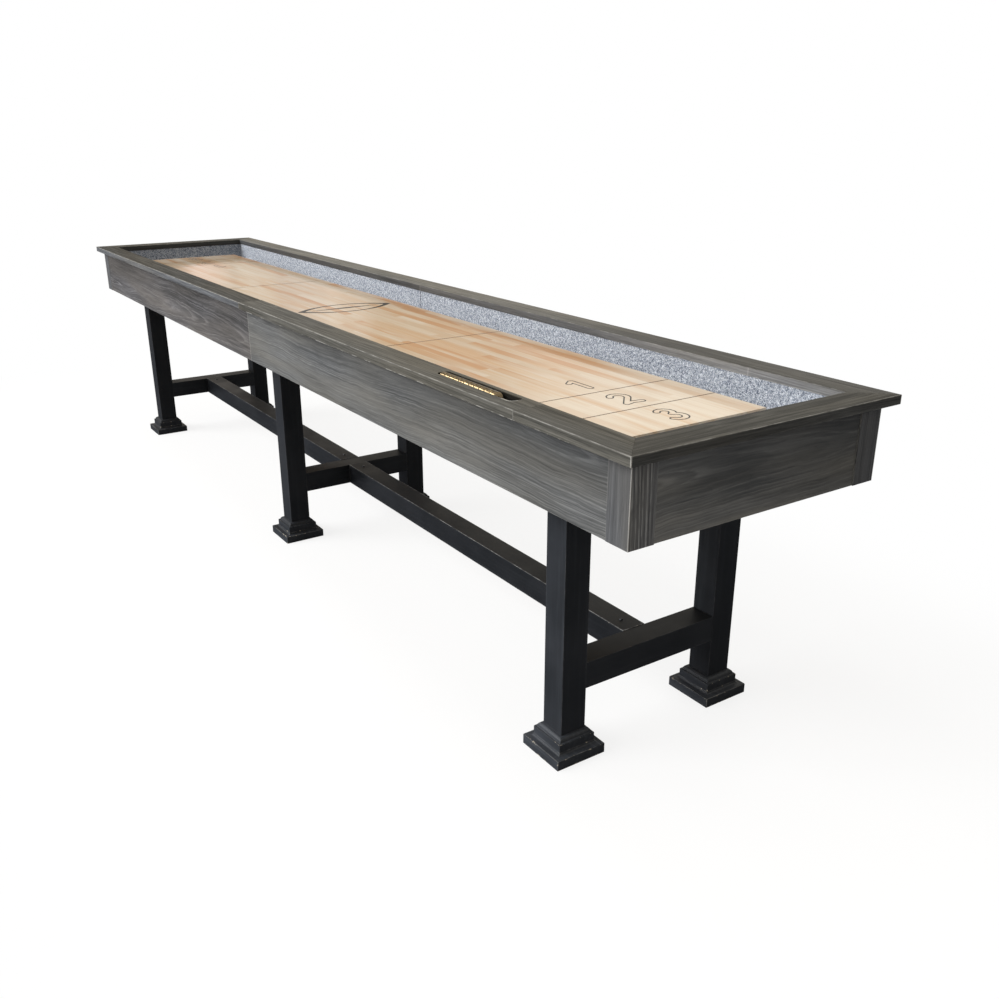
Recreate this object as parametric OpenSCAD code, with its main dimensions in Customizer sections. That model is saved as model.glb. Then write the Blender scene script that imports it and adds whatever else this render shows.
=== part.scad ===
// Twelve-foot shuffleboard table: a trough-shaped cabinet of stained boards on a black
// trestle base. Millimetres, +Z up, +X towards the scorer end, -Y the scorer side.
// The origin is on the floor, under the middle of the table.

/* [Overall] */
// Length over the top rail
table_l = 3658; // [3300:1:4300]
// Width over the top rail
table_w = 718; // [700:1:800]
// Height of the top rail's upper face above the floor
rail_top = 803; // [760:1:860]

/* [Top rail] */
// Width of the flat rail board
rail_w = 76; // [70:1:90]
// Thickness of the rail board
rail_t = 20; // [18:1:24]
// Overhang of the rail outside the cabinet
rail_overhang = 25; // [15:1:30]
// Distance of the scorer side's second rail seam from the middle
second_seam_x = 1489; // [1460:1:1560]
// Open line left at each butt joint of two boards
seam_gap = 0.6; // [0.3:0.1:1.5]

/* [Cabinet] */
// Height of the cabinet below the rail
cabinet_h = 166; // [160:1:190]
// Width of a corner post on both of its faces
post_w = 61; // [50:1:75]
// Thickness of a corner post's two legs
post_t = 22; // [20:1:26]
// Thickness of the side and end panels
panel_t = 18; // [16:1:20]
// Depth of the side panels behind the posts' outer faces
side_recess = 1; // [0:0.5:2]
// Depth of the end panels behind the posts' outer faces
end_recess = 2.5; // [0:0.5:4]
// Thickness of the felted lining boards
liner_t = 12; // [6:1:13]
// Distance of the lining behind the rail's inner edge
liner_recess = 2; // [0:0.5:4]
// Open line in the lining at the middle of the table
liner_gap = 2.4; // [1:0.2:4]

/* [Playfield] */
// Length of the playfield slab
playfield_l = 3239; // [3000:1:3300]
// Width of the playfield slab
playfield_w = 406; // [380:1:420]
// Thickness of the playfield slab
playfield_t = 44; // [38:1:46]
// Depth of the playing surface below the rail's upper face
playfield_drop = 51; // [45:1:60]
// Length of each scoring zone
zone_l = 150; // [130:1:160]
// Distance of the foul line from the playfield's end
foul_distance = 1004; // [900:1:1200]
// Thickness of the printed lines, numerals and ornament
print_t = 0.2; // [0.1:0.05:0.3]
// Width of a printed line
line_w = 3; // [2:0.5:5]
// Height of a numeral
numeral_h = 90; // [70:1:96]

/* [Cradle] */
// Thickness of the gutter floor boards
floor_t = 9; // [6:1:12]
// Height of the two long beams under the playfield
beam_h = 43; // [40:1:50]
// Width of the long beams
beam_w = 40; // [30:1:45]
// Distance of each beam's middle from the table's middle
beam_y = 150; // [145:1:160]
// Thickness of the cross bearers
bearer_t = 28; // [22:1:32]
// Width of the cross bearers
bearer_w = 120; // [112:1:140]
// Number of bearers between the middle and each end
bearers_per_half = 3; // [2:1:4]

/* [Base] */
// Side of a leg's square section
leg_w = 65; // [60:1:68]
// Distance between the outer pairs of legs
leg_span_x = 3000; // [2600:1:3100]
// Distance between the two legs of a pair
leg_span_y = 447; // [420:1:470]
// Side of a foot's lower tier
foot_w = 131; // [120:1:150]
// Height of a foot's lower tier
foot_base_h = 24; // [20:1:28]
// Side of a foot's upper tier
foot_tier_w = 97; // [95:1:104]
// Height of a foot's upper tier with its mouldings
foot_tier_h = 36; // [30:1:42]
// Height of the stretchers' upper faces above the floor
stretcher_top = 222; // [180:1:280]
// Height of the stretchers' section
stretcher_h = 64; // [55:1:70]
// Thickness of the steel plate on each leg
leg_plate_t = 5; // [4:0.5:6]

/* [Scorer] */
// Length of the slot in the rail
slot_l = 290; // [280:1:300]
// Width of the slot
slot_w = 33.5; // [30:0.5:34]
// Distance of the slot's middle from the table's middle
slot_x = 1288; // [1200:1:1300]
// Distance of the slot's middle line from the rail's outer edge
slot_inset = 50; // [48:0.5:51]
// Radius of a bead
bead_r = 12.5; // [11:0.5:12.5]
// Length of a bead
bead_l = 19.4; // [16:0.1:20.5]
// Clear line between two beads
bead_gap = 0.4; // [0.3:0.1:0.8]
// Radius of the rod that carries the beads
rod_r = 3; // [2:0.5:4]
// Height of a bead's crown above the rail
bead_proud = 2; // [0:0.5:3]

/* [Adjusters] */
// Radius of an adjusting bolt
bolt_r = 5; // [4:0.5:6]
// Distance of the bolts from the table's middle, for the inner and the outer pair
adjuster_x = [250, 1250];
// Distance between the two brackets that a bolt draws together
bracket_span = 220; // [200:1:230]

/* [Hidden] */
$fn = 48;
half_l = table_l / 2;
half_w = table_w / 2;
rail_under = rail_top - rail_t;
cabinet_x = half_l - rail_overhang;
cabinet_y = half_w - rail_overhang;
cabinet_z = rail_under - cabinet_h;
side_face = cabinet_y - side_recess;
end_face = cabinet_x - end_recess;
side_inner = side_face - panel_t;
liner_x = half_l - rail_w + liner_recess;
liner_y = half_w - rail_w + liner_recess;

playfield_z = rail_top - playfield_drop;
playfield_under = playfield_z - playfield_t;
bearer_z = playfield_under - beam_h;
bearer_under = bearer_z - bearer_t;
floor_z = bearer_z + floor_t;
floor_inner_y = beam_y + beam_w / 2 + 5;
beam_l = playfield_l - 80;
bearer_pitch = leg_span_x / 2 / bearers_per_half;

leg_x = [-leg_span_x / 2, 0, leg_span_x / 2];
leg_y = leg_span_y / 2;
foot_h = foot_base_h + foot_tier_h;
leg_top = bearer_under - leg_plate_t;
stretcher_z = stretcher_top - stretcher_h;
cross_l = leg_span_y - leg_w;
tenon = [25, 20, 40];
tongue = [70, 40, 12];
tongue_root = 10;
tongue_z = stretcher_z + 26;
fit_gap = 0.3;

plate_w = 110;
plate_screw = 45;
stud_r = 4;
stud_l = 50;
screw_r = 2.5;
screw_clear = 0.2;
screw_head_r = 5;
screw_head_h = 3;
plate_screw_l = 22;
foot_screw_l = 85;
foot_recess = 8;
stretcher_screw_x = 45;
stretcher_screw_l = 50;

slot_y = -half_w + slot_inset;
slot_corner = 12;
slot_board_x = slot_x - slot_l / 2 - 33;
hairline = 0.04;
rod_z = rail_top + bead_proud - bead_r;
rod_seat = 10;
rod_clear = 0.05;
bead_clear = 0.1;
bead_edge = 1.2;
bead_start = slot_x - slot_l / 2 + 4.5;
bead_pitch = bead_l + bead_gap;
tray_w = 24;
tray_h = 10;
tray_end = 20;
tray_floor = 4;
tray_wall = 1.5;
rebate_gap = 1;

bracket_y = bracket_span / 2;
bracket_t = 5;
bracket_w = 60;
bracket_flange = 45;
bracket_drop = 36;
bolt_z = playfield_under - 20;
bolt_head_af = 16;
bolt_head_h = 6.4;
bolt_clear = 0.1;
bolt_gap = 0.3;
nut_h = 8;
bracket_screw = 20;
adjuster_places = [-adjuster_x[1], -adjuster_x[0], adjuster_x[0], adjuster_x[1]];

ornament_half = [70, 167];
ornament_line = 8;
ornament_tip = 26;
needle_half = [9, 132];
numeral_stroke = 0.1 * numeral_h;
numeral_line = 3.2;

oak_top = [0.33, 0.32, 0.28];
oak_side = [0.40, 0.40, 0.41];
oak_post = [0.37, 0.38, 0.40];
felt = [0.62, 0.65, 0.70];
maple = [0.90, 0.80, 0.66];
ink = [0.25, 0.18, 0.13];
satin_black = [0.09, 0.09, 0.10];
plywood = [0.72, 0.60, 0.44];
steel = [0.55, 0.56, 0.58];
brass = [0.72, 0.60, 0.32];

// A block between two values on each axis.
module block(x, y, z) {
    translate([x[0], y[0], z[0]])
        cube([x[1] - x[0], y[1] - y[0], z[1] - z[0]]);
}

// A cylinder along +X from its start point.
module x_cylinder(start, r, l) {
    translate(start)
        rotate([0, 90, 0])
            cylinder(r = r, h = l);
}

// A cylinder along +Y from its start point.
module y_cylinder(start, r, l) {
    translate(start)
        rotate([-90, 0, 0])
            cylinder(r = r, h = l);
}

// Everything at the four corners of a rectangle, given by its half sides.
module at_corners(x, y) {
    for (sx = [-1, 1], sy = [-1, 1])
        translate([sx * x, sy * y, 0])
            children();
}

// ---------------------------------------------------------------- top rail

// A rail board of any outline seen from above.
module rail_board(outline) {
    color(oak_top)
        translate([0, 0, rail_under])
            linear_extrude(rail_t)
                polygon(outline);
}

// The near side's mitred board at the left end; mirrored and turned it makes the others.
module mitred_side_rail(inner_x) {
    rail_board([
        [-half_l, -half_w],
        [-inner_x - seam_gap / 2, -half_w],
        [-inner_x - seam_gap / 2, -half_w + rail_w],
        [-half_l + rail_w, -half_w + rail_w]
    ]);
}

module end_rail() {
    m = 0.3;
    rail_board([
        [half_l, -half_w + m],
        [half_l, half_w - m],
        [half_l - rail_w + m, half_w - rail_w],
        [half_l - rail_w + m, -half_w + rail_w]
    ]);
}

// A slot with rounded corners, made of two crossed blocks and four corner cylinders.
module rounded_slot(length, width, r, h) {
    block([-length / 2 + r, length / 2 - r], [-width / 2, width / 2], [0, h]);
    block([-length / 2, length / 2], [-width / 2 + r, width / 2 - r], [0, h]);
    at_corners(length / 2 - r, width / 2 - r)
        cylinder(r = r, h = h);
}

// A square-ended length of the near side's rail.
module near_rail_length(from, to) {
    rail_board([[from, -half_w], [to, -half_w], [to, -half_w + rail_w], [from, -half_w + rail_w]]);
}

// The scorer's slot is cut right through this board, and the rod's ends seat in its ends. The
// board is drawn as two lengths that close on a hairline, the short one round the slot.
module rail_near_mid() {
    difference() {
        union() {
            near_rail_length(seam_gap / 2, slot_board_x - hairline / 2);
            near_rail_length(slot_board_x + hairline / 2, second_seam_x - seam_gap / 2);
        }
        translate([slot_x, slot_y, rail_under - 1])
            rounded_slot(slot_l, slot_w, slot_corner, rail_t + 2);
        x_cylinder([slot_x - slot_l / 2 - rod_seat, slot_y, rod_z], rod_r + rod_clear,
                   slot_l + 2 * rod_seat);
    }
}

// ---------------------------------------------------------------- cabinet

module corner_post() {
    color(oak_post)
        translate([0, 0, cabinet_z])
            linear_extrude(cabinet_h)
                polygon([
                    [cabinet_x, cabinet_y],
                    [cabinet_x - post_w, cabinet_y],
                    [cabinet_x - post_w, cabinet_y - post_t],
                    [cabinet_x - post_t, cabinet_y - post_t],
                    [cabinet_x - post_t, cabinet_y - post_w],
                    [cabinet_x, cabinet_y - post_w]
                ]);
}

// The far right side panel; the others are mirrored.
module side_panel() {
    color(oak_side)
        block([seam_gap / 2, cabinet_x - post_w - 0.2], [side_inner, side_face],
              [cabinet_z, rail_under]);
}

// The scorer side's panel has a rebate in its top edge for the scorer tray.
module panel_near_right() {
    difference() {
        mirror([0, 1, 0])
            side_panel();
        block([slot_x - slot_l / 2 - tray_end - rebate_gap, slot_x + slot_l / 2 + tray_end + rebate_gap],
              [slot_y - tray_w / 2 - rebate_gap, -side_inner + 1],
              [rail_under - tray_h - rebate_gap, rail_under + 1]);
    }
}

module end_panel() {
    half = cabinet_y - post_w - 0.2;
    color(oak_side)
        block([end_face - panel_t, end_face], [-half, half], [cabinet_z, rail_under]);
}

module side_liner() {
    color(felt)
        block([liner_gap / 2, liner_x], [liner_y, liner_y + liner_t], [floor_z, rail_under]);
}

module end_liner() {
    half = liner_y + liner_t;
    color(felt)
        block([liner_x, liner_x + liner_t], [-half, half], [floor_z, rail_under]);
}

// Two long boards and two short ones floor the gutter all round the playfield.
module gutter_floors() {
    outer_x = liner_x + liner_t;
    outer_y = liner_y + liner_t;
    color(felt) {
        for (s = [-1, 1])
            mirror([0, s < 0 ? 1 : 0, 0])
                block([-outer_x, outer_x], [floor_inner_y, outer_y], [bearer_z, floor_z]);
        for (s = [-1, 1])
            mirror([s < 0 ? 1 : 0, 0, 0])
                block([beam_l / 2 + 5, outer_x], [-floor_inner_y + 0.5, floor_inner_y - 0.5],
                      [bearer_z, floor_z]);
    }
}

// ---------------------------------------------------------------- cradle and playfield

module cradle_beams() {
    color(plywood)
        for (s = [-1, 1])
            block([-beam_l / 2, beam_l / 2], [s * beam_y - beam_w / 2, s * beam_y + beam_w / 2],
                  [bearer_z, playfield_under]);
}

// Positions of the four screws through each leg plate.
module at_plate_screws() {
    for (x = leg_x, s = [-1, 1])
        translate([x, s * leg_y, 0])
            at_corners(plate_screw, plate_screw)
                children();
}

module cross_bearers() {
    color(plywood)
        difference() {
            for (i = [-bearers_per_half:bearers_per_half])
                translate([i * bearer_pitch, 0, 0])
                    block([-bearer_w / 2, bearer_w / 2], [-side_inner, side_inner],
                          [bearer_under, bearer_z]);
            translate([0, 0, bearer_under - 1])
                at_plate_screws()
                    cylinder(r = screw_r + screw_clear, h = plate_screw_l + 1);
        }
}

// Positions of the two screws through each bracket's flange.
module at_bracket_screws() {
    y = bracket_y - (bracket_flange + bracket_t) / 2;
    for (x = adjuster_places, sx = [-1, 1], sy = [-1, 1])
        translate([x + sx * bracket_screw, sy * y, playfield_under - bracket_t])
            children();
}

module playfield() {
    color(maple)
        difference() {
            block([-playfield_l / 2, playfield_l / 2], [-playfield_w / 2, playfield_w / 2],
                  [playfield_under, playfield_z]);
            at_bracket_screws()
                cylinder(r = screw_r + screw_clear, h = plate_screw_l + 1);
        }
}

// A thick line along a list of points.
module stroke(points, r) {
    for (i = [0:len(points) - 2])
        hull() {
            translate(points[i])
                circle(r, $fn = 12);
            translate(points[i + 1])
                circle(r, $fn = 12);
        }
}

// A hollow numeral: only the outline of its stroke is printed.
module hollow_numeral(points) {
    difference() {
        stroke(points, numeral_stroke);
        stroke(points, numeral_stroke - numeral_line);
    }
}

// Points of an arc from one angle to another.
function arc(centre, r, from, to, steps) =
    [for (i = [0:steps]) centre + r * [cos(from + (to - from) * i / steps),
                                       sin(from + (to - from) * i / steps)]];

// The middle lines of the three numerals, reading upwards along +Y.
top_v = numeral_h / 2 - numeral_stroke;
bowl_r = 0.22 * numeral_h;
numeral_paths = [
    [[-0.19 * numeral_h, top_v - 0.16 * numeral_h], [0, top_v], [0, -top_v]],
    concat(arc([0, top_v - bowl_r], bowl_r, 160, -35, 8),
           [[-0.23 * numeral_h, -top_v], [-2, -top_v + 5], [0.26 * numeral_h, -top_v + 1]]),
    concat(arc([0, top_v - 0.86 * bowl_r], 0.86 * bowl_r, 150, -75, 7),
           arc([0, -top_v + bowl_r], bowl_r, 75, -150, 8))
];

// The numerals 1, 2 and 3 are read from the near end, so their tops point to the middle.
module end_numerals() {
    for (n = [0:2])
        translate([playfield_l / 2 - (2.5 - n) * zone_l, 0])
            rotate(90)
                hollow_numeral(numeral_paths[n]);
}

module cross_line(x) {
    translate([x - line_w / 2, -playfield_w / 2])
        square([line_w, playfield_w]);
}

// A pointed oval: half[0] is half its width and half[1] half its length.
module pointed_oval(half) {
    r = (half[0] * half[0] + half[1] * half[1]) / (2 * half[0]);
    intersection_for(side = [-1, 1])
        translate([side * (r - half[0]), 0])
            circle(r, $fn = 180);
}

// A pointed oval ring across the board, with a slim needle inside it.
module ornament() {
    needle_w = needle_half[0];
    needle_l = needle_half[1];
    difference() {
        pointed_oval(ornament_half);
        pointed_oval(ornament_half - [ornament_line, ornament_tip]);
    }
    polygon([[needle_w, 0], [0, needle_l], [-needle_w, 0], [0, -needle_l]]);
}

module playfield_markings() {
    color(ink)
        translate([0, 0, playfield_z])
            linear_extrude(print_t) {
                ornament();
                for (turn = [0, 180])
                    rotate(turn) {
                        end_numerals();
                        for (n = [1, 2])
                            cross_line(playfield_l / 2 - n * zone_l);
                        cross_line(playfield_l / 2 - foul_distance);
                    }
            }
}

// ---------------------------------------------------------------- base

// A leg with a hole for the plate's stud, a mortise for the stretcher and a screw hole below.
module leg(x, side) {
    color(satin_black)
        translate([x, side * leg_y, 0])
            difference() {
                block([-leg_w / 2, leg_w / 2], [-leg_w / 2, leg_w / 2], [foot_h, leg_top]);
                translate([0, 0, leg_top - stud_l - 5])
                    cylinder(r = stud_r + screw_clear, h = stud_l + 6);
                translate([0, -side * (leg_w / 2 - (tenon[1] + 1) / 2 + 0.5),
                           stretcher_z + stretcher_h / 2])
                    cube([tenon[0] + fit_gap, tenon[1] + 2, tenon[2] + fit_gap], center = true);
                translate([0, 0, foot_h - 1])
                    cylinder(r = screw_r + screw_clear, h = foot_screw_l - foot_h + foot_recess + 2);
            }
}

// Half of a foot's outline seen from the side: a broad tier, a cove, a narrower tier and a
// quarter round against the leg.
function foot_side() =
    let (b = foot_w / 2, t = foot_tier_w / 2, g = leg_w / 2, r = 10.5, cove = 6, ease = 1.5)
    concat([[b, 0], [b, foot_base_h - ease], [b - ease, foot_base_h]],
           arc([t + cove, foot_base_h + cove], cove, 270, 180, 5),
           [[t, foot_h - r - ease], [t - ease, foot_h - r]],
           arc([g + 0.5, foot_h - r], r, 0, 90, 7));

module foot_profile() {
    side = foot_side();
    linear_extrude(foot_w + 2, center = true)
        polygon(concat(side, [for (i = [len(side) - 1:-1:0]) [-side[i][0], side[i][1]]]));
}

// A square turned moulding: the same profile along both directions, crossed.
module foot() {
    difference() {
        intersection() {
            rotate([90, 0, 0])
                foot_profile();
            rotate([90, 0, 90])
                foot_profile();
        }
        translate([0, 0, -1])
            cylinder(r = screw_r + screw_clear, h = foot_h + 2);
        translate([0, 0, -1])
            cylinder(r = screw_head_r + 1, h = foot_recess + 1);
    }
}

module feet() {
    color(satin_black)
        for (x = leg_x, s = [-1, 1])
            translate([x, s * leg_y, 0])
                foot();
}

// A stretcher between the two legs of a pair, with tongues that enter the centre stretchers.
module cross_stretcher(x, tongues) {
    color(satin_black)
        translate([x, 0, 0])
            difference() {
                union() {
                    block([-leg_w / 2, leg_w / 2], [-cross_l / 2, cross_l / 2],
                          [stretcher_z, stretcher_top]);
                    translate([0, 0, stretcher_z + stretcher_h / 2])
                        cube([tenon[0], cross_l + 2 * tenon[1], tenon[2]], center = true);
                    for (s = tongues)
                        translate([s * (leg_w + tongue[0] - tongue_root) / 2, 0, tongue_z + tongue[2] / 2])
                            cube([tongue[0] + tongue_root, tongue[1], tongue[2]], center = true);
                }
                for (s = tongues)
                    translate([s * (leg_w / 2 + stretcher_screw_x), 0, tongue_z - 1])
                        cylinder(r = screw_r + screw_clear, h = tongue[2] + 2);
            }
}

// A long stretcher from the middle pair of legs to the right one; its ends are slotted.
module centre_stretcher() {
    x0 = leg_w / 2 + fit_gap / 2;
    x1 = leg_span_x / 2 - leg_w / 2 - fit_gap / 2;
    color(satin_black)
        difference() {
            block([x0, x1], [-leg_w / 2, leg_w / 2], [stretcher_z, stretcher_top + 1]);
            for (x = [x0, x1])
                translate([x, 0, tongue_z + tongue[2] / 2])
                    cube([2 * tongue[0] + 2, tongue[1] + fit_gap, tongue[2] + fit_gap], center = true);
            for (x = [leg_w / 2 + stretcher_screw_x, leg_span_x / 2 - leg_w / 2 - stretcher_screw_x])
                translate([x, 0, stretcher_top - stretcher_screw_l])
                    cylinder(r = screw_r + screw_clear, h = stretcher_screw_l + 2);
        }
}

module leg_plates() {
    color(steel)
        for (x = leg_x, s = [-1, 1])
            translate([x, s * leg_y, 0])
                difference() {
                    union() {
                        block([-plate_w / 2, plate_w / 2], [-plate_w / 2, plate_w / 2],
                              [leg_top, bearer_under]);
                        translate([0, 0, leg_top - stud_l])
                            cylinder(r = stud_r, h = stud_l + leg_plate_t);
                    }
                    at_corners(plate_screw, plate_screw)
                        translate([0, 0, leg_top - 1])
                            cylinder(r = screw_r + screw_clear, h = leg_plate_t + 2);
                }
}

// A round-headed screw that points up from the face its head lies on.
module screw(l) {
    translate([0, 0, -screw_head_h])
        cylinder(r1 = screw_head_r - 1.5, r2 = screw_head_r, h = screw_head_h);
    cylinder(r = screw_r, h = l);
}

module fixing_screws() {
    color(steel) {
        translate([0, 0, leg_top])
            at_plate_screws()
                screw(plate_screw_l);
        at_bracket_screws()
            screw(plate_screw_l);
        for (x = leg_x, s = [-1, 1])
            translate([x, s * leg_y, foot_recess])
                screw(foot_screw_l);
        for (s = [-1, 1], x = [leg_w / 2 + stretcher_screw_x,
                               leg_span_x / 2 - leg_w / 2 - stretcher_screw_x])
            translate([s * x, 0, stretcher_top + 1])
                rotate([180, 0, 0])
                    screw(stretcher_screw_l);
    }
}

// ---------------------------------------------------------------- scorer

// A shallow tray closes the slot from below and clears the beads.
module scorer_tray() {
    half = slot_l / 2 + tray_end;
    color(satin_black)
        difference() {
            translate([slot_x, slot_y, 0])
                block([-half, half], [-tray_w / 2, tray_w / 2], [rail_under - tray_h, rail_under]);
            translate([slot_x, slot_y, 0])
                block([-slot_l / 2, slot_l / 2], [-tray_w / 2 + tray_wall, tray_w / 2 - tray_wall],
                      [rail_under - tray_h + tray_floor, rail_under + 1]);
        }
}

module scorer_rod() {
    color(brass)
        x_cylinder([slot_x - slot_l / 2 - rod_seat + 0.5, slot_y, rod_z], rod_r,
                   slot_l + 2 * rod_seat - 1);
}

// One counting bead: a drilled drum with eased rims.
module bead(n) {
    bore = rod_r + bead_clear;
    color(brass)
        translate([bead_start + (n - 1) * bead_pitch, slot_y, rod_z])
            rotate([0, 90, 0])
                rotate_extrude()
                    polygon([
                        [bore, 0], [bead_r - bead_edge, 0], [bead_r, bead_edge],
                        [bead_r, bead_l - bead_edge], [bead_r - bead_edge, bead_l], [bore, bead_l]
                    ]);
}

// ---------------------------------------------------------------- adjusters

module angle_bracket() {
    block([-bracket_w / 2, bracket_w / 2], [bracket_y - bracket_t, bracket_y],
          [playfield_under - bracket_drop, playfield_under]);
    block([-bracket_w / 2, bracket_w / 2], [bracket_y - bracket_flange, bracket_y],
          [playfield_under - bracket_t, playfield_under]);
}

// Angle brackets under the playfield; the far one carries a fixed nut.
module adjuster_brackets() {
    color(steel)
        difference() {
            for (x = adjuster_places)
                translate([x, 0, 0]) {
                    for (s = [0, 1])
                        mirror([0, s, 0])
                            angle_bracket();
                    translate([0, bracket_y, bolt_z])
                        rotate([-90, 0, 0])
                            cylinder(r = bolt_head_af / sqrt(3), h = nut_h, $fn = 6);
                }
            for (x = adjuster_places)
                y_cylinder([x, -bracket_y - 1, bolt_z], bolt_r + bolt_clear,
                           bracket_span + nut_h + 2);
            translate([0, 0, -1])
                at_bracket_screws()
                    cylinder(r = screw_r + screw_clear, h = bracket_t + 2);
        }
}

// A long bolt that draws its two brackets together when it is turned.
module adjuster_bolt(n) {
    head_y = -bracket_y - bolt_gap;
    color(steel)
        translate([adjuster_places[n - 1], head_y, bolt_z]) {
            rotate([90, 0, 0])
                cylinder(r = bolt_head_af / sqrt(3), h = bolt_head_h, $fn = 6);
            rotate([-90, 0, 0])
                cylinder(r = bolt_r, h = bracket_span + 16);
        }
}

// ---------------------------------------------------------------- assembly

mitred_side_rail(0);  // rail_near_left
rail_near_mid();
mirror([1, 0, 0]) mitred_side_rail(second_seam_x);  // rail_near_right
mirror([0, 1, 0]) mitred_side_rail(0);  // rail_far_left
rotate(180) mitred_side_rail(0);  // rail_far_right
mirror([1, 0, 0]) end_rail();  // rail_end_left
end_rail();  // rail_end_right
rotate(180) side_panel();  // panel_near_left
panel_near_right();
mirror([1, 0, 0]) side_panel();  // panel_far_left
side_panel();  // panel_far_right
mirror([1, 0, 0]) end_panel();  // panel_end_left
end_panel();  // panel_end_right
rotate(180) corner_post();  // post_near_left
mirror([0, 1, 0]) corner_post();  // post_near_right
mirror([1, 0, 0]) corner_post();  // post_far_left
corner_post();  // post_far_right
rotate(180) side_liner();  // liner_near_left
mirror([0, 1, 0]) side_liner();  // liner_near_right
mirror([1, 0, 0]) side_liner();  // liner_far_left
side_liner();  // liner_far_right
mirror([1, 0, 0]) end_liner();  // liner_end_left
end_liner();  // liner_end_right
gutter_floors();
cradle_beams();
cross_bearers();
playfield();
playfield_markings();
leg(leg_x[0], -1);  // leg_near_left
leg(leg_x[1], -1);  // leg_near_mid
leg(leg_x[2], -1);  // leg_near_right
leg(leg_x[0], 1);  // leg_far_left
leg(leg_x[1], 1);  // leg_far_mid
leg(leg_x[2], 1);  // leg_far_right
feet();
cross_stretcher(leg_x[0], [1]);  // cross_stretcher_left
cross_stretcher(leg_x[1], [-1, 1]);  // cross_stretcher_mid
cross_stretcher(leg_x[2], [-1]);  // cross_stretcher_right
mirror([1, 0, 0]) centre_stretcher();  // centre_stretcher_left
centre_stretcher();  // centre_stretcher_right
leg_plates();
fixing_screws();
scorer_tray();
scorer_rod();
bead(1);  // bead_01
bead(2);  // bead_02
bead(3);  // bead_03
bead(4);  // bead_04
bead(5);  // bead_05
bead(6);  // bead_06
bead(7);  // bead_07
bead(8);  // bead_08
bead(9);  // bead_09
bead(10);  // bead_10
bead(11);  // bead_11
adjuster_brackets();
adjuster_bolt(1);  // adjuster_bolt_1
adjuster_bolt(2);  // adjuster_bolt_2
adjuster_bolt(3);  // adjuster_bolt_3
adjuster_bolt(4);  // adjuster_bolt_4
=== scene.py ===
import math

import bpy
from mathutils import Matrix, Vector


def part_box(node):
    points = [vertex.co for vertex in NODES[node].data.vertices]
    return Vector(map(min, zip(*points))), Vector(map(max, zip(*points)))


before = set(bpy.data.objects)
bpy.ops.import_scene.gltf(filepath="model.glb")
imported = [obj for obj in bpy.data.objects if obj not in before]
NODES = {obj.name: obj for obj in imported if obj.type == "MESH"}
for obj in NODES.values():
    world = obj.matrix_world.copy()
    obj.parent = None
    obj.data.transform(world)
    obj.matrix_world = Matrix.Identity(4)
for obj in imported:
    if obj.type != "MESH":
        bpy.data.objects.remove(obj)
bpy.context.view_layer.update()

MM = 0.001
X, Y, Z = 0, 1, 2

# ---------------------------------------------------------------- camera

CAMERA_PLACE = Vector((2.9705, -1.3855, 1.3044))
CAMERA_TARGET = Vector((1.0302, -0.0811, 0.4188))
CAMERA_LENS = 35.32
CAMERA_SENSOR = 36
CAMERA_REACH = 200


def make_camera():
    data = bpy.data.cameras.new("camera")
    data.lens = CAMERA_LENS
    data.sensor_width = CAMERA_SENSOR
    data.clip_end = CAMERA_REACH
    camera = bpy.data.objects.new("camera", data)
    camera.location = CAMERA_PLACE
    camera.rotation_euler = (CAMERA_TARGET - CAMERA_PLACE).to_track_quat("-Z", "Y").to_euler()
    bpy.context.scene.collection.objects.link(camera)
    bpy.context.scene.camera = camera


# ---------------------------------------------------------------- node graphs


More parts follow.
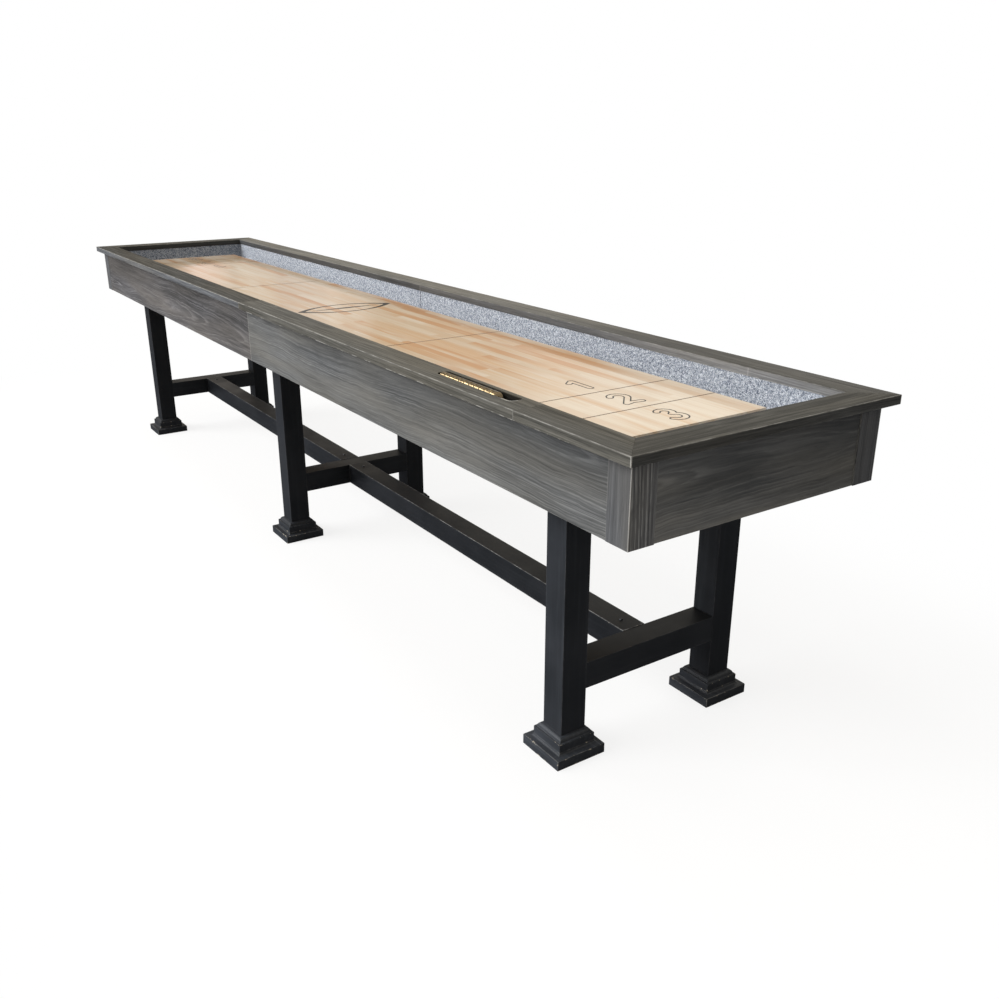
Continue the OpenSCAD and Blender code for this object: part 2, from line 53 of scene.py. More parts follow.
class Graph:
    """Makes one material and adds its shader nodes."""

    def __init__(self, name):
        self.material = bpy.data.materials.new(name)
        self.material.use_nodes = True
        self.nodes = self.material.node_tree.nodes
        self.links = self.material.node_tree.links
        self.nodes.clear()
        self.shader = self.nodes.new("ShaderNodeBsdfPrincipled")
        output = self.nodes.new("ShaderNodeOutputMaterial")
        self.links.new(self.shader.outputs[0], output.inputs[0])
        place = self.nodes.new("ShaderNodeTexCoord").outputs["Object"]
        self.place = place
        self.xyz = self.split(place)

    def put(self, socket, value):
        if isinstance(value, bpy.types.NodeSocket):
            self.links.new(value, socket)
        elif value is not None:
            socket.default_value = value

    def math(self, operation, a, b=None):
        node = self.nodes.new("ShaderNodeMath")
        node.operation = operation
        for socket, value in zip(node.inputs, (a, b)):
            self.put(socket, value)
        return node.outputs[0]

    def add(self, a, b):
        return self.math("ADD", a, b)

    def sub(self, a, b):
        return self.math("SUBTRACT", a, b)

    def mul(self, a, b):
        return self.math("MULTIPLY", a, b)

    def low(self, *values):
        found = values[0]
        for value in values[1:]:
            found = self.math("MINIMUM", found, value)
        return found

    def high(self, *values):
        found = values[0]
        for value in values[1:]:
            found = self.math("MAXIMUM", found, value)
        return found

    def absolute(self, value):
        """value without its sign."""
        return self.math("ABSOLUTE", value)

    def root_of_squares(self, a, b):
        return self.math("SQRT", self.add(self.mul(a, a), self.mul(b, b)))

    def normal(self):
        """The three parts of the direction that the surface looks in."""
        return self.split(self.nodes.new("ShaderNodeTexCoord").outputs["Normal"])

    def split(self, vector):
        node = self.nodes.new("ShaderNodeSeparateXYZ")
        self.put(node.inputs[0], vector)
        return list(node.outputs)

    def join(self, x, y, z):
        node = self.nodes.new("ShaderNodeCombineXYZ")
        for socket, value in zip(node.inputs, (x, y, z)):
            self.put(socket, value)
        return node.outputs[0]

    def stretch(self, vector, scales, shift=(0, 0, 0), turn=0.0):
        """vector scaled, then turned about its first axis, then shifted."""
        node = self.nodes.new("ShaderNodeMapping")
        self.put(node.inputs["Vector"], vector)
        node.inputs["Scale"].default_value = scales
        node.inputs["Rotation"].default_value = (turn, 0, 0)
        node.inputs["Location"].default_value = shift
        return node.outputs[0]

    def noise(self, vector, scale=1.0, detail=2.0, roughness=0.5):
        node = self.nodes.new("ShaderNodeTexNoise")
        self.put(node.inputs["Vector"], vector)
        node.inputs["Scale"].default_value = scale
        node.inputs["Detail"].default_value = detail
        node.inputs["Roughness"].default_value = roughness
        return node.outputs[0]

    def line_noise(self, value, scale=1.0, detail=2.0):
        node = self.nodes.new("ShaderNodeTexNoise")
        node.noise_dimensions = "1D"
        self.put(node.inputs["W"], value)
        node.inputs["Scale"].default_value = scale
        node.inputs["Detail"].default_value = detail
        return node.outputs[0]

    def random(self, a, b):
        """A number from 0 to 1 that is the same all over one cell (a, b)."""
        node = self.nodes.new("ShaderNodeTexWhiteNoise")
        node.noise_dimensions = "2D"
        self.put(node.inputs["Vector"], self.join(a, b, 0.0))
        return node.outputs["Value"]

    def ease(self, value, low, high, out_low=0.0, out_high=1.0):
        """A smooth step from out_low to out_high while value goes from low to high."""
        node = self.nodes.new("ShaderNodeMapRange")
        node.interpolation_type = "SMOOTHSTEP"
        names = ("Value", "From Min", "From Max", "To Min", "To Max")
        for name, number in zip(names, (value, low, high, out_low, out_high)):
            self.put(node.inputs[name], number)
        return node.outputs[0]

    def ramp(self, value, stops):
        """The colour at value, from (position, colour) stops."""
        node = self.nodes.new("ShaderNodeValToRGB")
        points = node.color_ramp.elements
        while len(points) < len(stops):
            points.new(0.5)
        for point, (position, colour) in zip(points, stops):
            point.position = position
            point.color = (*linear(colour), 1)
        self.put(node.inputs[0], value)
        return node.outputs[0]

    def mix(self, share, a, b, blend="MIX"):
        node = self.nodes.new("ShaderNodeMix")
        node.data_type = "RGBA"
        node.blend_type = blend
        self.put(node.inputs[0], share)
        for socket, value in zip((node.inputs[6], node.inputs[7]), (a, b)):
            if isinstance(value, (tuple, list)):
                value = (*linear(value), 1)
            self.put(socket, value)
        return node.outputs[2]

    def scale_colour(self, colour, factor):
        """colour times the number factor."""
        node = self.nodes.new("ShaderNodeVectorMath")
        node.operation = "SCALE"
        self.put(node.inputs[0], colour)
        self.put(node.inputs["Scale"], factor)
        return node.outputs[0]

    def bump(self, height, strength, depth, below=None):
        node = self.nodes.new("ShaderNodeBump")
        node.inputs["Strength"].default_value = strength
        node.inputs["Distance"].default_value = depth
        self.put(node.inputs["Height"], height)
        self.put(node.inputs["Normal"], below)
        return node.outputs[0]

    def finish(self, colour, roughness, normal=None, **constants):
        """Links colour, roughness and normal, and sets the other sockets to plain numbers."""
        self.put(self.shader.inputs["Base Color"], colour)
        self.put(self.shader.inputs["Roughness"], roughness)
        self.put(self.shader.inputs["Normal"], normal)
        for name, value in constants.items():
            self.shader.inputs[name.replace("_", " ")].default_value = value
        return self.material


def linear(colour):
    """The linear value of an sRGB colour given as three numbers from 0 to 255."""
    return tuple(
        c / 255 / 12.92 if c / 255 < 0.04045 else ((c / 255 + 0.055) / 1.055) ** 2.4
        for c in colour
    )


def edge_distance(g, low, high):
    """How far a point on a box is from the box's nearest edge: the middle one of its three
    distances to the faces."""
    x, y, z = (
        g.low(g.sub(g.xyz[i], low[i]), g.sub(high[i], g.xyz[i])) for i in range(3)
    )
    return g.high(g.low(x, y), g.low(g.high(x, y), z))


def longest_axis(node):
    low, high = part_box(node)
    lengths = list(high - low)
    return lengths.index(max(lengths))


# ---------------------------------------------------------------- grey oak

RAIL_LOW, RAIL_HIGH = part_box("rail_end_right")
RAIL_WIDTH = RAIL_HIGH.x - RAIL_LOW.x
HALF_LENGTH = RAIL_HIGH.x
HALF_WIDTH = RAIL_HIGH.y
POST_LOW, POST_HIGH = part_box("post_far_right")
PANEL_LOW, PANEL_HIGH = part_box("panel_near_right")
RAIL_SEAMS = (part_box("rail_near_mid")[0].x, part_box("rail_near_mid")[1].x)
# Colour of rubbed edges, and of the painted highlight lines along the rails.
WORN_AND_HIGHLIGHT = (186, 184, 180)
# Painted cool light: the upright faces of most rail boards are made bluer than their top.
PAINTED_COOL_LIGHT = (252, 259, 278)


def rail_places(g):
    """How far a point on the rail frame is in from the outer edge, and from the inner edge."""
    across_x = g.absolute(g.xyz[X])
    across_y = g.absolute(g.xyz[Y])
    out_x = g.sub(HALF_LENGTH, across_x)
    out_y = g.sub(HALF_WIDTH, across_y)
    inside = g.high(
        g.sub(across_x, HALF_LENGTH - RAIL_WIDTH), g.sub(across_y, HALF_WIDTH - RAIL_WIDTH)
    )
    return out_x, out_y, inside


def rail_wear_and_highlights(g, breaks):
    """Rubbed edges of the rail frame: thin broken lines along it, and bright outer corners. The
    light line along the outer top edge is partly wear and partly painted highlight, and the lines
    along the inner top and bottom edges are painted highlights.
    """
    out_x, out_y, inside = rail_places(g)
    outside = g.low(out_x, out_y)
    top = g.sub(RAIL_HIGH.z, g.xyz[Z])
    bottom = g.sub(g.xyz[Z], RAIL_LOW.z)
    # Painted highlight mixed with real wear: the light line along the outer top edge.
    upper = g.ease(g.high(outside, top), 2.2 * MM, 0.7 * MM)
    lower = g.ease(g.high(outside, bottom), 1.9 * MM, 0.6 * MM)
    # Painted highlights: the light lines along the inner top and bottom edges.
    inner_top_highlight = g.ease(g.high(inside, top), 1.6 * MM, 0.6 * MM)
    inner_bottom_highlight = g.ease(g.high(inside, bottom), 3.2 * MM, 1.0 * MM)
    upper = g.mul(upper, g.ease(breaks, 0.32, 0.68, 0.10, 0.55))
    long_side = g.ease(out_x, 30 * MM, 80 * MM, 0.2, 1.0)
    lower = g.mul(g.mul(lower, long_side), g.ease(breaks, 0.50, 0.60, 0.0, 0.75))
    inner_top_highlight = g.mul(inner_top_highlight, g.ease(breaks, 0.45, 0.65, 0.0, 0.35))
    near_end = g.ease(g.xyz[X], 0.9, 1.5, 0.0, 0.8)
    inner_bottom_highlight = g.mul(inner_bottom_highlight, g.mul(near_end, g.ease(breaks, 0.35, 0.55)))
    corner = g.ease(g.high(out_x, out_y), 2.6 * MM, 0.6 * MM)
    corner = g.mul(corner, g.ease(breaks, 0.2, 0.6, 0.6, 1.0))
    seam = g.mul(seam_wear(g, RAIL_SEAMS), g.ease(top, 0.8 * MM, 2.0 * MM, 0.1, 0.45))
    return g.high(upper, lower, inner_top_highlight, inner_bottom_highlight, corner, seam)


def seam_wear(g, places):
    """Rubbed ends where two boards meet, at the given distances along the table."""
    nearest = g.low(*(g.absolute(g.sub(g.xyz[X], place)) for place in places))
    return g.ease(nearest, 2.4 * MM, 1.0 * MM, 0.0, 0.5)


def post_wear(g, breaks):
    """Rubbed edges of a corner post: its outer corner most, its other edges a little."""
    out_x = g.sub(POST_HIGH.x, g.absolute(g.xyz[X]))
    out_y = g.sub(POST_HIGH.y, g.absolute(g.xyz[Y]))
    corner = g.ease(g.high(out_x, out_y), 2.4 * MM, 0.5 * MM)
    corner = g.mul(corner, g.ease(breaks, 0.25, 0.65, 0.35, 0.8))
    width = POST_HIGH.x - POST_LOW.x
    side = g.ease(g.low(g.sub(width, out_x), g.sub(width, out_y)), 1.6 * MM, 0.4 * MM)
    foot = g.ease(g.sub(g.xyz[Z], POST_LOW.z), 1.6 * MM, 0.4 * MM)
    rest = g.mul(g.high(side, foot), g.ease(breaks, 0.35, 0.65, 0.0, 0.3))
    return g.high(corner, rest)


def panel_wear(low, high):
    """Rubbed edges of a flat board: faint, and broken along their length."""

    def wear(g, breaks):
        edge = g.ease(edge_distance(g, low, high), 1.5 * MM, 0.3 * MM)
        edge = g.mul(edge, g.ease(breaks, 0.35, 0.65, 0.05, 0.38))
        return g.high(edge, g.mul(seam_wear(g, (0.0,)), 0.7))

    return wear


def no_painted_light(g):
    return 1.0


def panel_painted_light(inward, outward=None):
    """Painted light and shade on a side panel, as (upper half, lower half): towards the middle of
    the table, and towards its ends."""
    outward = outward or inward
    middle = (PANEL_LOW.z + PANEL_HIGH.z) / 2

    def tone_and_painted_light(g):
        along = g.absolute(g.xyz[X])
        upper = g.ease(along, 0.1, 1.5, inward[0], outward[0])
        lower = g.ease(along, 0.1, 1.5, inward[1], outward[1])
        return g.ease(g.xyz[Z], middle - 25 * MM, middle + 25 * MM, lower, upper)

    return tone_and_painted_light


def end_panel_painted_light(g):
    """Painted light on the right end panel: lighter towards the scorer's side and low down."""
    middle = (PANEL_LOW.z + PANEL_HIGH.z) / 2
    upright = g.ease(g.xyz[Z], middle - 25 * MM, middle + 25 * MM, 1.25, 1.05)
    return g.mul(upright, g.ease(g.xyz[Y], -0.25, 0.25, 1.28, 0.86))


def post_painted_light(side, end):
    """Painted light and shade on a right-hand post: on its sides, and on the face that looks along
    +X.
    """

    def tone_and_painted_light(g):
        return g.ease(g.xyz[X], POST_HIGH.x - 2.0 * MM, POST_HIGH.x - 0.8 * MM, side, end)

    return tone_and_painted_light


def rail_top(g):
    """1 on top of the rail, and 0 on its upright faces."""
    return g.ease(g.sub(RAIL_HIGH.z, g.xyz[Z]), 1.6 * MM, 0.4 * MM)


def rail_painted_light(top, outer, inner, middle=1.0, inner_middle=1.0):
    """Painted light and shade on each side of a rail board: its top, its outer face and its inner
    one. middle and inner_middle say how much lighter the top and the inner face are painted
    towards the middle of the table."""

    def tone_and_painted_light(g):
        out_x, out_y, inside = rail_places(g)
        on_inside = g.ease(inside, 1.6 * MM, 0.4 * MM)
        along = g.absolute(g.xyz[X])
        within = g.ease(along, 1.4, 0.8, inner, inner * inner_middle)
        side = g.add(g.mul(g.sub(within, outer), on_inside), outer)
        above = g.ease(along, 1.3, 0.3, top, top * middle)
        return g.add(g.mul(g.sub(above, side), rail_top(g)), side)

    return tone_and_painted_light


# Turns the noise a little, so that its lattice doesn't line up with a board's faces.
LATTICE_TURN = 0.6
# Broad patches of each board lean one way or the other, and its pores are darker than its fibres.
WARM_TINT = (255, 251, 245)
COOL_TINT = (248, 250, 255)
PORE_SHADE = 0.6


class Oak:
    """How one board of grey-stained oak looks. Lengths are in metres.

    dark, light: colours of the darkest and the lightest fibres
    ring: distance between growth rings
    pith: how far behind the face the tree's middle lies
    offset: how far the tree's middle lies to one side of the board
    tilt: how fast the tree's middle moves away along the board
    sway: how far the rings wander to the side
    lines: how strongly the rings show
    streaks: how strongly the fibres show
    patch: how strongly broad patches show
    shine: the lacquer's specular level
    regular: 0 when the rings differ a lot in width and strength, 1 when they are all alike
    painted_cool_sides: whether a rail board's upright faces get painted cool light, which makes
    them bluer than its top
    """

    def __init__(self, dark, light, ring=5.5 * MM, pith=50 * MM, offset=0.0, tilt=0.03,
                 sway=10 * MM, lines=0.35, streaks=0.6, patch=0.5, shine=0.35,
                 regular=0.0, painted_cool_sides=False):
        self.dark = dark
        self.light = light
        self.ring = ring
        self.pith = pith
        self.offset = offset
        self.tilt = tilt
        self.sway = sway
        self.lines = lines
        self.streaks = streaks
        self.patch = patch
        self.shine = shine
        self.regular = regular
        self.painted_cool_sides = painted_cool_sides


def fibre_sway(g, board, look, shift):
    """How far the fibres wander to the side: mostly slowly, with small quicker ripples."""
    slow = g.noise(g.stretch(board, (1.3, 2.4, 2.4), shift), 1.0, 1.0)
    quick = g.noise(g.stretch(board, (7.5, 14.0, 14.0), shift), 1.0, 2.0)
    ripple = g.noise(g.stretch(board, (34.0, 60.0, 60.0), shift), 1.0, 1.0)
    return g.add(
        g.add(g.mul(g.sub(slow, 0.5), 5 * look.sway), g.mul(g.sub(quick, 0.5), 1.3 * look.sway)),
        g.mul(g.sub(ripple, 0.5), 0.22 * look.sway),
    )


def growth_rings(g, look, seed, place, moved):
    """Rings round the tree's middle: a pale band of pores on one side of each ring."""
    along, beside, depth = place
    behind = g.add(g.add(depth, look.pith), g.mul(along, look.tilt))
    if look.regular:
        behind = g.add(behind, g.mul(moved, 1.6 * look.regular))
    beside = g.sub(beside, look.offset)
    radius = g.root_of_squares(beside, behind)
    spread = 2.2 * (1 - look.regular)
    uneven = g.mul(g.sub(g.line_noise(g.add(radius, seed * 1.9), 75.0, 1.0), 0.5), spread)
    phase = g.add(g.math("DIVIDE", radius, look.ring), uneven)
    saw = g.math("FRACT", phase)
    band = g.mul(g.ease(saw, 0.0, 0.14), g.ease(saw, 0.62, 0.16))
    vary = 0.7 * (1 - look.regular)
    return g.mul(band, g.add(g.mul(g.random(g.math("FLOOR", phase), seed), vary), 1 - vary))


def grey_oak(name, node, look, grain, face, seed, wear=None, bold=None, tone_and_painted_light=no_painted_light):
    """Grey-stained open-grain oak. grain is the axis that the fibres run along, and face is the
    axis that the board's show face looks along. bold says where the rings show most, and tone
    gives the painted light and shade on each side of the board."""
    g = Graph(name)
    low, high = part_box(node)
    middle = (low + high) / 2
    side = 3 - grain - face
    along = g.sub(g.xyz[grain], middle[grain])
    across = g.sub(g.xyz[side], middle[side])
    depth = g.sub(g.xyz[face], middle[face])
    board = g.join(along, across, depth)
    shift = (seed * 7.31, seed * 3.17, seed * 5.53)

    moved = fibre_sway(g, board, look, shift)
    beside = g.add(across, moved)
    flow = g.join(along, beside, depth)
    band = growth_rings(g, look, seed, (along, beside, depth), moved)
    dashes = g.noise(g.stretch(flow, (22.0, 170.0, 170.0), shift, LATTICE_TURN), 1.0, 2.0, 0.6)
    band = g.mul(band, g.ease(dashes, 0.34, 0.56, 0.35, 1.2))

    broad = g.noise(g.stretch(flow, (2.6, 110.0, 110.0), shift, LATTICE_TURN), 1.0, 2.0)
    fibre = g.noise(g.stretch(flow, (9.0, 400.0, 400.0), shift, LATTICE_TURN), 1.0, 3.0, 0.65)
    fine = g.noise(g.stretch(flow, (30.0, 1300.0, 1300.0), shift, LATTICE_TURN), 1.0, 2.0, 0.6)
    cloud = g.noise(g.stretch(board, (2.6, 11.0, 11.0), shift), 1.0, 3.0)
    bloom = g.noise(g.stretch(board, (1.4, 9.0, 9.0), (seed, 4.0, 1.0)), 1.0, 2.0)

    strength = g.ease(bloom, 0.35, 0.65, 0.35 * look.lines, 1.5 * look.lines)
    if bold:
        strength = g.mul(strength, bold(g, low, high))
    share = g.add(0.45, g.mul(g.sub(band, 0.25), strength))
    share = g.add(share, g.mul(g.sub(fibre, 0.5), 1.5 * look.streaks))
    share = g.add(share, g.mul(g.sub(broad, 0.5), 1.2 * look.streaks))
    share = g.add(share, g.mul(g.sub(cloud, 0.5), 1.4 * look.patch))
    colour = g.ramp(share, [(0.0, look.dark), (1.0, look.light)])
    colour = g.mix(
        g.ease(bloom, 0.35, 0.65), g.mix(1.0, colour, WARM_TINT, "MULTIPLY"),
        g.mix(1.0, colour, COOL_TINT, "MULTIPLY"),
    )
    pores = g.ease(fine, 0.58, 0.70)
    pore_share = g.mul(pores, g.ease(band, 0.5, 0.0, 0.15, 0.5))
    colour = g.mix(pore_share, colour, [c * PORE_SHADE for c in look.dark])

    breaks = g.noise(g.stretch(board, (26.0, 160.0, 160.0), shift), 1.0, 3.0, 0.7)
    wear = wear or panel_wear(low, high)
    # Painted light and shade, face by face.
    colour = g.scale_colour(colour, tone_and_painted_light(g))
    # Painted cool light on the upright faces.
    if look.painted_cool_sides:
        painted_cool = g.mix(1.0, colour, PAINTED_COOL_LIGHT, "MULTIPLY")
        colour = g.mix(rail_top(g), painted_cool, colour)
    # Rubbed edges, and on the rails painted highlight lines as well.
    colour = g.mix(wear(g, breaks), colour, WORN_AND_HIGHLIGHT)

    height = g.add(g.mul(band, 0.4), g.sub(g.mul(fibre, 0.6), g.mul(pores, 0.8)))
    roughness = g.ease(share, 0.1, 0.9, 0.60, 0.44)
    normal = g.bump(height, 0.3, 0.4 * MM)
    return g.finish(colour, roughness, normal, Specular_IOR_Level=look.shine)


def on_end_face(g, low, high):
    """Strong on the face that looks along +X, apart from a strip beside the end panel, and
    weak elsewhere."""
    strip = g.ease(g.xyz[Y], high.y - 15 * MM, high.y - 11 * MM, 1.0, 0.15)
    return g.mul(g.ease(g.xyz[X], high.x - 2.0 * MM, high.x - 0.8 * MM, 0.12, 1.6), strip)


RAIL_NEAR = Oak((60, 59, 54), (120, 117, 108), pith=90 * MM, offset=30 * MM, sway=3 * MM,
                lines=0.2, streaks=0.95, patch=0.25, shine=0.22)
RAIL_LEFT = Oak((60, 59, 56), (120, 118, 111), pith=90 * MM, offset=30 * MM, sway=3 * MM,
                lines=0.2, streaks=0.95, patch=0.25, shine=0.06, painted_cool_sides=True)
RAIL_FAR = Oak((66, 64, 59), (130, 127, 118), pith=90 * MM, offset=30 * MM, sway=3 * MM,
               lines=0.16, streaks=0.9, patch=0.25, shine=0.5, painted_cool_sides=True)
RAIL_END = Oak((50, 48, 42), (102, 99, 88), pith=70 * MM, offset=-20 * MM, sway=4 * MM,
               lines=0.25, streaks=1.05, patch=0.3, painted_cool_sides=True)
PANEL_COOL = Oak((66, 67, 67), (120, 121, 120), ring=6.0 * MM, pith=34 * MM, offset=62 * MM,
                 tilt=0.02, sway=11 * MM, lines=0.5, streaks=0.65, patch=0.7)
PANEL_WARM = Oak((52, 51, 51), (112, 110, 110), ring=7.0 * MM, pith=42 * MM, offset=-25 * MM,
                 tilt=0.035, sway=13 * MM, lines=0.6, streaks=0.75, patch=0.7)
PANEL_END = Oak((58, 59, 59), (104, 104, 102), ring=5.5 * MM, pith=46 * MM, offset=20 * MM,
                tilt=0.04, sway=9 * MM, lines=0.3, streaks=0.45, patch=1.3)
POST = Oak((58, 60, 63), (112, 114, 118), ring=4.5 * MM, pith=70 * MM, sway=3 * MM, lines=0.25,
           streaks=0.9, patch=0.3)
POST_BOLD = Oak((52, 53, 55), (132, 133, 134), ring=8.5 * MM, pith=90 * MM, offset=20 * MM,
                tilt=0.05, sway=5 * MM, lines=0.55, streaks=0.5, patch=0.2, regular=0.7)

# Painted light and shade on the top, the outer face and the inner face of each rail board, with a
# painted sheen on the far rail's top.
RAIL_LOOKS = {
    "rail_near_left": (RAIL_LEFT, X, 1, rail_painted_light(0.53, 1.10, 0.5)),
    "rail_near_mid": (RAIL_NEAR, X, 2, rail_painted_light(0.76, 0.86, 0.5)),
    "rail_near_right": (RAIL_NEAR, X, 3, rail_painted_light(0.62, 0.90, 0.5)),
    "rail_far_left": (RAIL_FAR, X, 4, rail_painted_light(0.95, 0.8, 0.36)),
    "rail_far_right": (RAIL_FAR, X, 5, rail_painted_light(0.39, 0.8, 1.20, 2.6, 0.48)),
    "rail_end_left": (RAIL_END, Y, 6, rail_painted_light(0.6, 0.8, 0.5)),
    "rail_end_right": (RAIL_END, Y, 7, rail_painted_light(0.42, 0.58, 0.5)),
}
SCORER_RAIL = "rail_near_mid"
ROD_LOW, ROD_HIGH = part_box("scorer_rod")
ROD_SEAT = 9.5 * MM
SLOT_LOW_X = ROD_LOW.x + ROD_SEAT
SLOT_HIGH_X = ROD_HIGH.x - ROD_SEAT
SLOT_Y = (ROD_LOW.y + ROD_HIGH.y) / 2
SLOT_HALF = 17 * MM
SLOT_ROUND = 12 * MM


def slot_distance(g):
    """How far outside the scorer's slot a point lies, seen from above."""
    along = g.high(g.sub(SLOT_LOW_X, g.xyz[X]), g.sub(g.xyz[X], SLOT_HIGH_X))
    across = g.sub(g.absolute(g.sub(g.xyz[Y], SLOT_Y)), SLOT_HALF)
    past_x = g.high(g.add(along, SLOT_ROUND), 0.0)
    past_y = g.high(g.add(across, SLOT_ROUND), 0.0)
    corner = g.root_of_squares(past_x, past_y)
    return g.sub(corner, SLOT_ROUND)


def add_painted_slot_shade(tone_and_painted_light):
    """A rail board's painted light, with painted shade that makes its slot nearly black inside."""

    def with_slot(g):
        # Painted shade inside the slot's recess, below the rail's top.
        inside = g.ease(slot_distance(g), 1.0 * MM, 0.2 * MM)
        below = g.ease(g.sub(RAIL_HIGH.z, g.xyz[Z]), 1.0 * MM, 2.5 * MM)
        return g.mul(tone_and_painted_light(g), g.sub(1.0, g.mul(g.mul(inside, below), 0.88)))

    return with_slot


def scorer_rail_wear_and_highlights(g, breaks):
    """The rail's own wear and painted highlights, and a painted highlight on the slot's rounded
    near edge at its right end.
    """
    to_edge = g.absolute(slot_distance(g))
    near_side = g.math("LESS_THAN", g.xyz[Y], SLOT_Y)
    right_end = g.ease(g.absolute(g.sub(g.xyz[X], SLOT_HIGH_X - 12 * MM)), 26 * MM, 8 * MM)
    # Painted highlight on the slot's rounded near edge at its right end.
    lip_highlight = g.mul(g.ease(to_edge, 5.0 * MM, 1.5 * MM), g.mul(near_side, right_end))
    return g.high(rail_wear_and_highlights(g, breaks), g.mul(lip_highlight, 0.6))


# Painted light and shade on each side panel, as (upper half, lower half) inwards, and the same
# outwards. Darker upper halves are a painted shadow of the rail's overhang.
PANEL_LOOKS = {
    "panel_near_left": (PANEL_WARM, X, Y, 11, panel_painted_light((0.92, 1.22), (0.84, 1.20))),
    "panel_near_right": (PANEL_COOL, X, Y, 12, panel_painted_light((1.20, 1.08), (0.79, 1.22))),
    "panel_far_left": (PANEL_COOL, X, Y, 13, panel_painted_light((0.9, 1.0))),
    "panel_far_right": (PANEL_WARM, X, Y, 14, panel_painted_light((0.9, 1.0))),
    "panel_end_left": (PANEL_END, Y, X, 15, panel_painted_light((1.0, 1.1))),
    "panel_end_right": (PANEL_END, Y, X, 16, end_panel_painted_light),
}
# Painted light and shade on the right-hand posts.
POST_LOOKS = {
    "post_near_left": (POST, 17, no_painted_light),
    "post_near_right": (POST_BOLD, 18, post_painted_light(0.86, 1.05)),
    "post_far_left": (POST, 19, no_painted_light),
    "post_far_right": (POST, 20, post_painted_light(1.0, 0.66)),
}

# ---------------------------------------------------------------- other materials


LEFT_LINER_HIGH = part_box("liner_end_left")[1]
FELT_SHADES = [(0.38, (70, 78, 94)), (0.46, (118, 126, 140)), (0.54, (156, 163, 174)),
               (0.62, (206, 211, 219))]
FELT_PALE_SPECK = (244, 246, 248)
FELT_DARK_SPECK = (48, 54, 68)
PLYWOOD_SHADES = [(0.25, (150, 120, 84)), (0.75, (204, 174, 132))]


def felt(name):
    """Heather grey-blue needled felt: pale and dark tufts of a few millimetres. The
    underside, where the felt's board shows, is raw plywood."""
    g = Graph(name)
    clumps = g.noise(g.place, 120.0, 2.0, 0.6)
    tufts = g.noise(g.place, 300.0, 2.0, 0.6)
    specks = g.noise(g.stretch(g.place, (1, 1, 1), (5.0, 3.0, 9.0)), 520.0, 2.0, 0.6)
    fibres = g.noise(g.stretch(g.place, (1.0, 1.0, 1.6), (3.0, 1.0, 2.0)), 1700.0, 2.0, 0.6)
    share = g.add(g.add(g.mul(tufts, 0.55), g.mul(fibres, 0.2)), g.mul(clumps, 0.25))
    colour = g.ramp(share, FELT_SHADES)
    colour = g.mix(g.ease(specks, 0.57, 0.66, 0.0, 0.9), colour, FELT_PALE_SPECK)
    colour = g.mix(g.ease(specks, 0.41, 0.33, 0.0, 0.85), colour, FELT_DARK_SPECK)
    # The left end's lining is darker.
    from_left = g.sub(g.xyz[X], LEFT_LINER_HIGH.x)
    colour = g.scale_colour(colour, g.ease(from_left, 1.0 * MM, 3.0 * MM, 0.8, 1.0))
    facing = g.normal()[Z]
    plies = g.noise(g.stretch(g.place, (4.0, 90.0, 90.0)), 1.0, 3.0, 0.6)
    board = g.ramp(plies, PLYWOOD_SHADES)
    colour = g.mix(g.ease(facing, -0.6, -0.8), colour, board)
    height = g.add(g.mul(tufts, 0.5), g.mul(fibres, 0.5))
    normal = g.bump(height, 0.7, 0.8 * MM)
    return g.finish(colour, g.ease(tufts, 0.3, 0.7, 0.98, 0.88), normal,
                    Specular_IOR_Level=0.1, Sheen_Weight=0.15, Sheen_Roughness=0.6)


STRIP_WIDTH = 29 * MM
GOLDEN_MIDDLE = 0.7
BROWN_MIDDLE = 0.56
MAPLE_STRIPS = [(0.0, (226, 206, 180)), (0.35, (216, 190, 158)), (0.6, (230, 212, 188)),
                (0.8, (210, 180, 144)), (1.0, (222, 200, 172))]
MAPLE_PALE = (233, 217, 194)
MAPLE_STREAK = (210, 161, 100)
MAPLE_LIGHT_STREAK = (236, 222, 202)
MAPLE_DRIFT = (213, 160, 98)
MAPLE_GOLD = (208, 154, 88)
MAPLE_HEART = (200, 138, 66)
MAPLE_FIBRE = (190, 150, 110)
GLUE = (170, 128, 88)
FIELD_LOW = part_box("playfield")[0]


